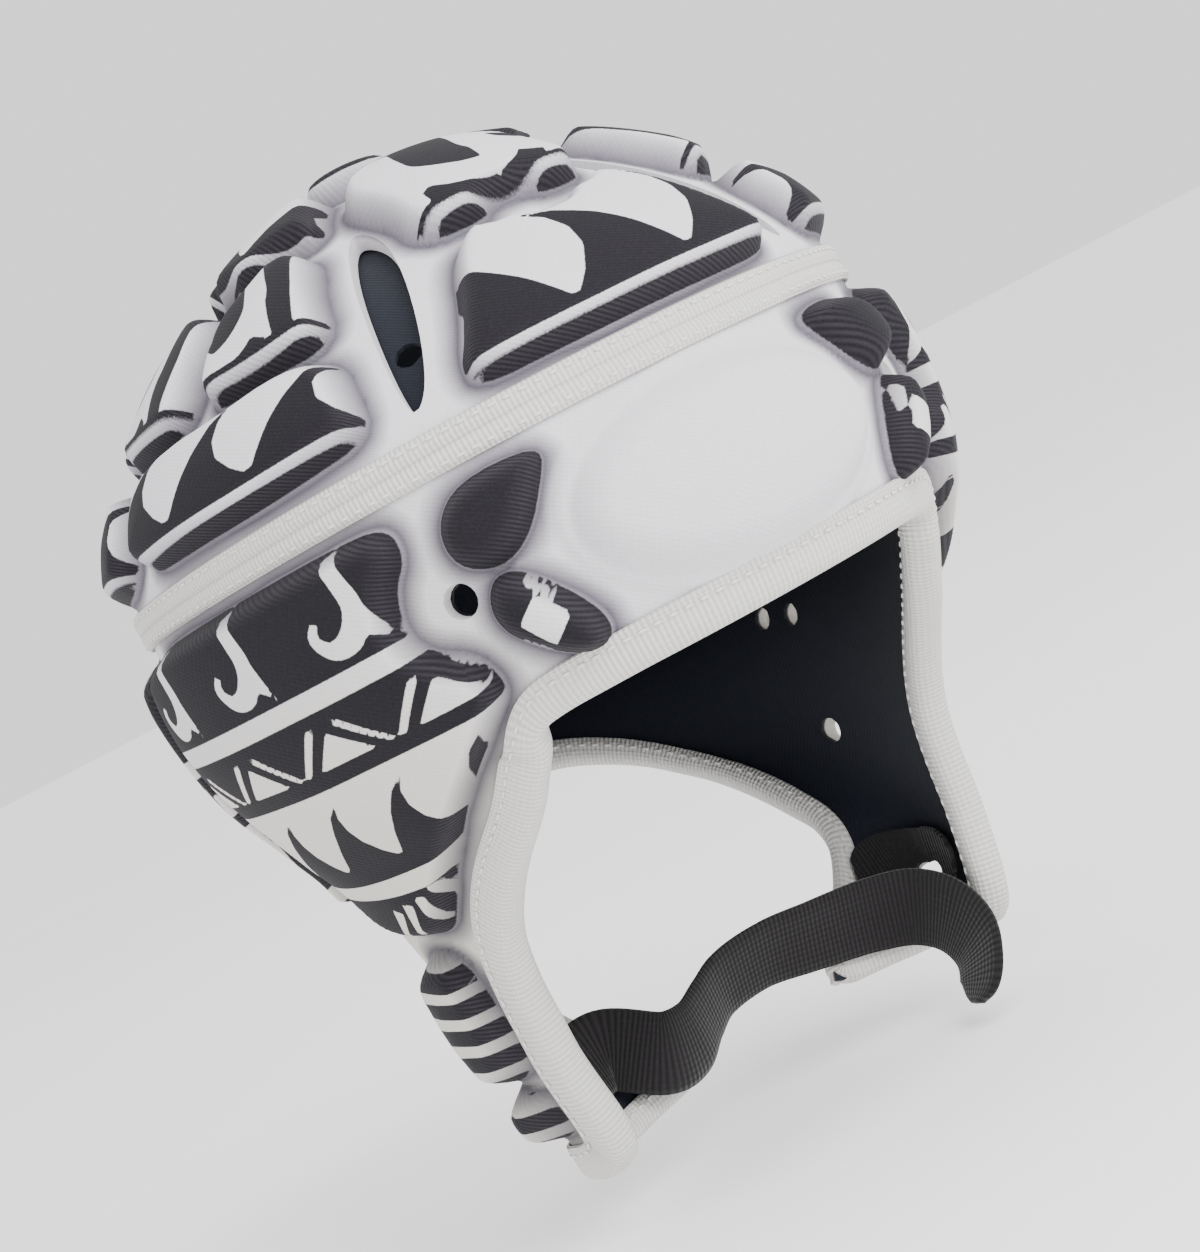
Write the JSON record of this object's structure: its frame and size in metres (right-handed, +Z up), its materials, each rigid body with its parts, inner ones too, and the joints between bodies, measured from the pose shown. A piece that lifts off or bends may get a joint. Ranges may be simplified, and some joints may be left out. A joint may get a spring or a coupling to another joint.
{
  "type": "rugby scrum cap",
  "caption": "Padded cap for the head with printed foam pads over a cloth shell, ear flaps, bound edges, round vents and a webbing chin strap through a slotted tab.",
  "frame": {"origin": "the point inside the crown where the top of the wearer's head touches the lining", "axes": "+Z up through the crown, -Y to the front of the cap, +X to the wearer's left, where the strap is fastened"},
  "size_m": [0.1882, 0.2123, 0.2362],
  "materials": {
    "knit": "matt white knitted jersey",
    "print": "matt charcoal print on white knit",
    "tape": "ribbed off-white twill tape and elastic",
    "lining": "matt dark navy jersey",
    "webbing": "ribbed black webbing"
  },
  "bodies": {
    "root": {"crown_shell": "knit", "lower_shell": "knit", "crown_lining": "lining", "side_lining": "lining", "seam_tape": "tape", "edge_binding": "tape", "brow_oval": "knit", "top_pad": "print", "front_pad": "print", "crown_pad": "print", "back_pad": "print", "back_pad_upper": "print", "nape_pad": "print", "temple_pad_upper_left": "print", "temple_pad_upper_right": "print", "temple_pad_lower_left": "print", "temple_pad_lower_right": "print", "side_pad_left": "print", "side_pad_right": "print", "cheek_pad_upper_left": "print", "cheek_pad_upper_right": "print", "cheek_pad_lower_left": "print", "cheek_pad_lower_right": "print", "rear_pad_left": "print", "rear_pad_right": "print", "side_pad_top_left": "print", "side_pad_top_right": "print", "rear_pad_top_left": "print", "rear_pad_top_right": "print", "hook_pad_left": "print", "hook_pad_right": "print", "rear_hook_pad_left": "print", "rear_hook_pad_right": "print", "rear_pad_upper_left": "print", "rear_pad_upper_right": "print", "ridge_pad_left": "print", "ridge_pad_right": "print", "ridge_pad_rear_left": "print", "ridge_pad_rear_right": "print", "strap_tab": "webbing", "chin_strap": "webbing"}
  },
  "joints": []
}
